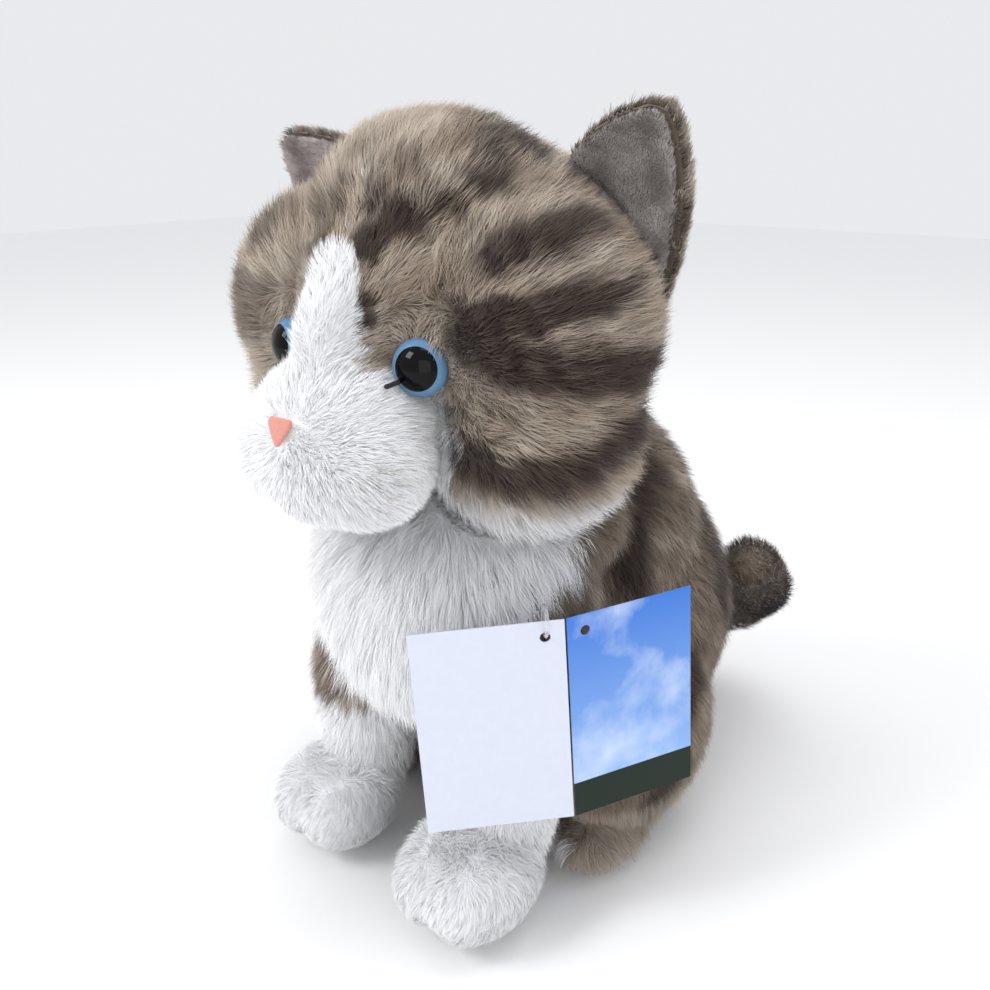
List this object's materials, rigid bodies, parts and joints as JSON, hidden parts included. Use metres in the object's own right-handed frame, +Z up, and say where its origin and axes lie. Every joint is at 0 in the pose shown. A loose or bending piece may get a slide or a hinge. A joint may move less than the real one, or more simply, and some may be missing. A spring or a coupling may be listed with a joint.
{
  "type": "plush cat",
  "caption": "Sitting plush tabby kitten with a white muzzle, bib and front paws, bendable ears and tail, a turning head and a hanging fold-over card tag.",
  "frame": {"origin": "on the floor under the middle of the flat patch that the seat rests on", "axes": "+Z up; the face looks along -Y; the toy's own left is +X"},
  "size_m": [0.1967, 0.2864, 0.2978],
  "materials": {
    "white_fur": "long-pile acrylic fur, white",
    "tabby_fur": "long-pile acrylic fur, grey-brown tabby",
    "filling": "polyester fibre filling",
    "ear_fur": "short-pile acrylic fur, grey-brown",
    "ear_velour": "grey velour",
    "iris_plastic": "light blue, polished",
    "pupil_plastic": "black, polished",
    "washer_plastic": "moulded white",
    "nose_flock": "pink flock",
    "pouch_cloth": "plain woven cotton bag",
    "pellets": "polyethylene pellets",
    "card_printed": "coated paper card, plain colours",
    "clear_plastic": "clear polypropylene",
    "card_white": "coated paper card, plain",
    "thread": "embroidery thread"
  },
  "bodies": {
    "torso": {"body_cover": "tabby_fur", "body_filling": "filling", "chest_panel": "white_fur", "foreleg_left_filling": "filling", "foreleg_left_sleeve": "tabby_fur", "foreleg_left_sock": "white_fur", "foreleg_right_filling": "filling", "foreleg_right_sleeve": "tabby_fur", "foreleg_right_sock": "white_fur", "haunch_left_cover": "tabby_fur", "haunch_left_filling": "filling", "haunch_right_cover": "tabby_fur", "haunch_right_filling": "filling", "hind_foot_left": "tabby_fur", "hind_foot_right": "tabby_fur", "pellet_pouch": "pouch_cloth", "pellets": "pellets", "tag_fastener": "clear_plastic"},
    "head": {"blaze_panel": "white_fur", "eye_left_iris": "iris_plastic", "eye_left_pupil": "pupil_plastic", "eye_left_washer": "washer_plastic", "eye_right_iris": "iris_plastic", "eye_right_pupil": "pupil_plastic", "eye_right_washer": "washer_plastic", "head_cover": "tabby_fur", "head_filling": "filling", "muzzle_cover": "white_fur", "nose": "nose_flock", "tear_stitch_left": "thread", "tear_stitch_right": "thread"},
    "ear_left": {"ear_left_back": "ear_fur", "ear_left_lining": "ear_velour"},
    "ear_right": {"ear_right_back": "ear_fur", "ear_right_lining": "ear_velour"},
    "tail": {"tail_cover": "tabby_fur", "tail_filling": "filling"},
    "tag": {"tag_page": "card_white"},
    "tag_leaf": {"tag_cover": "card_printed"}
  },
  "joints": [
    {"name": "head_turn", "type": "hinge", "parent": "torso", "child": "head", "pos_m": [0, -0.074, 0.161], "axis": [0, 0, 1], "range_deg": [-15, 15], "stiffness_Nm_per_rad": 0.15},
    {"name": "ear_left_bend", "type": "hinge", "parent": "head", "child": "ear_left", "pos_m": [0.0525, -0.067, 0.2475], "axis": [-0.501, 0, 0.8654], "range_deg": [-8, 8], "stiffness_Nm_per_rad": 0.01},
    {"name": "ear_right_bend", "type": "hinge", "parent": "head", "child": "ear_right", "pos_m": [-0.0525, -0.067, 0.2495], "axis": [0.5286, 0, 0.8489], "range_deg": [-8, 8], "stiffness_Nm_per_rad": 0.01},
    {"name": "tail_swing", "type": "hinge", "parent": "torso", "child": "tail", "pos_m": [0, 0.07, 0.036], "axis": [0, 0, 1], "range_deg": [0, 30], "stiffness_Nm_per_rad": 0.02},
    {"name": "tag_swing", "type": "hinge", "parent": "torso", "child": "tag", "pos_m": [0.06788, -0.12077, 0.134], "axis": [0.682, -0.7314, 0], "range_deg": [-29, 21]},
    {"name": "tag_open", "type": "hinge", "parent": "tag", "child": "tag_leaf", "pos_m": [0.07472, -0.11439, 0.10057], "axis": [-0.051, -0.0476, 0.9976], "range_deg": [-60, 8], "stiffness_Nm_per_rad": 0.0002}
  ]
}
